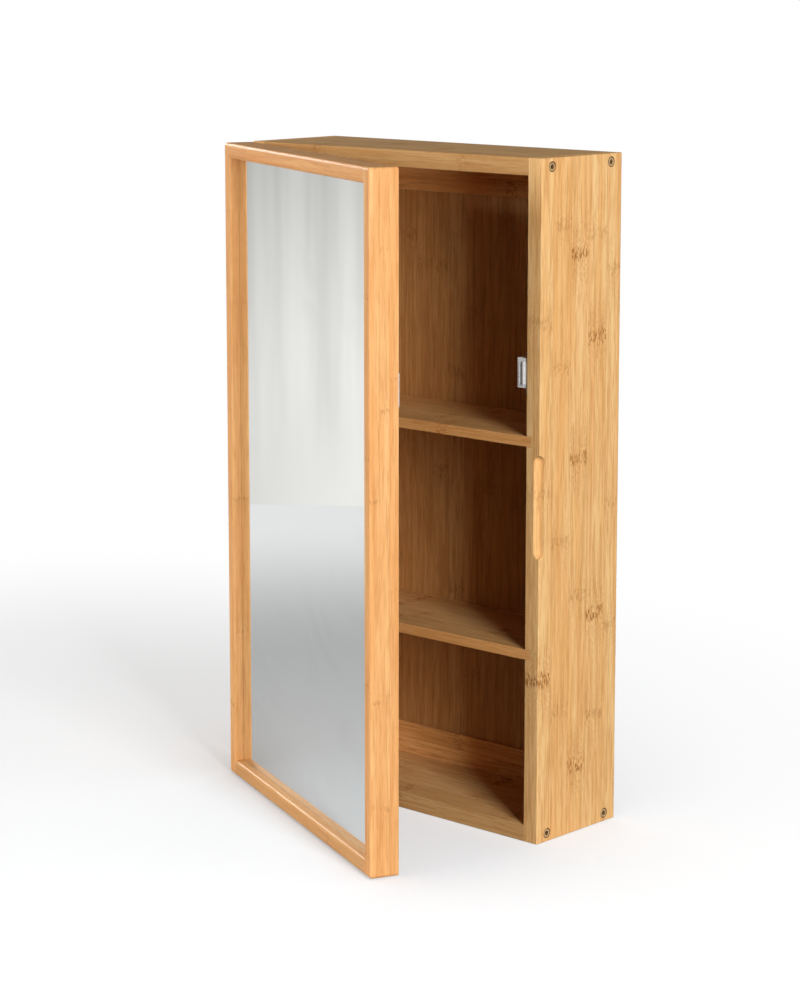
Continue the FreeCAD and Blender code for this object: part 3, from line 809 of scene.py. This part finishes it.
# %% Speckle
speckle, given, result = open_group(
    "speckle", [("Point", "Vector"), ("Stretch", "Vector"), ("Scale", "Float"),
                ("Middle Roughness", "Float"), ("First", "Color"), ("Second", "Color")],
    finish_outputs)
pulled = scaled(speckle, given["Point"], given["Stretch"])
grains = grain_noise(speckle, pulled, given["Scale"], 4.0, 0.6)
soft_patches = grain_noise(speckle, given["Point"], 24.0, 2.0)
tone = work_out(speckle, "ADD", ramp_between(speckle, grains, 0.30, 0.70, 0.0, 0.75),
                ramp_between(speckle, soft_patches, 0.3, 0.7, 0.0, 0.25))
feed(speckle, result["Color"], blend_colours(speckle, tone, given["First"], given["Second"]))
feed(speckle, result["Roughness"], work_out(
    speckle, "ADD", given["Middle Roughness"], ramp_between(speckle, grains, 0.3, 0.7, -0.06, 0.06)))
feed(speckle, result["Height"], grains)
print("speckle has", len(speckle.nodes), "nodes")

# %% [markdown]
# Each row gives a thing its finish: a name, two tones, how fine the grains are, how they are
# stretched, the middle roughness and the depth of the relief in metres.

# %% Catch, tape, backing and dowels
def speckled_material(name, first, second, scale, stretch, roughness, depth):
    material, tree = new_material(name)
    made = place_group(tree, speckle, Point=object_point(tree), Stretch=stretch, Scale=scale,
                       Middle_Roughness=roughness, First=first, Second=second)
    edge = place_group(tree, eased, Radius=0.0003)
    finish_surface(tree, Base_Color=made["Color"], Roughness=made["Roughness"],
                   Normal=bumped(tree, made["Height"], 0.3, depth, edge["Normal"]))
    return material


even, upright, lengthwise = (1, 1, 1), (1, 1, 0.45), (0.05, 1, 1)
plain_things = {
    "catch_housing": ("moulded_catch", (0.78, 0.78, 0.76, 1), (0.70, 0.70, 0.68, 1),
                      2600, even, 0.42, 0.0001),
    "catch_magnet": ("ferrite", (0.03, 0.03, 0.032, 1), (0.055, 0.053, 0.05, 1),
                     1800, even, 0.6, 0.0001),
    "mirror_tape": ("foam_tape", (0.80, 0.80, 0.78, 1), (0.68, 0.68, 0.66, 1),
                    900, even, 0.9, 0.0003),
    "backing_board": ("hardboard", (0.33, 0.19, 0.095, 1), (0.25, 0.14, 0.066, 1),
                      850, upright, 0.6, 0.0002),
    "alignment_dowels": ("beech", (0.66, 0.46, 0.28, 1), (0.55, 0.36, 0.20, 1),
                         800, lengthwise, 0.6, 0.0002),
}
for node, finish in plain_things.items():
    dress(node, speckled_material(*finish))
print("dressed", ", ".join(plain_things))
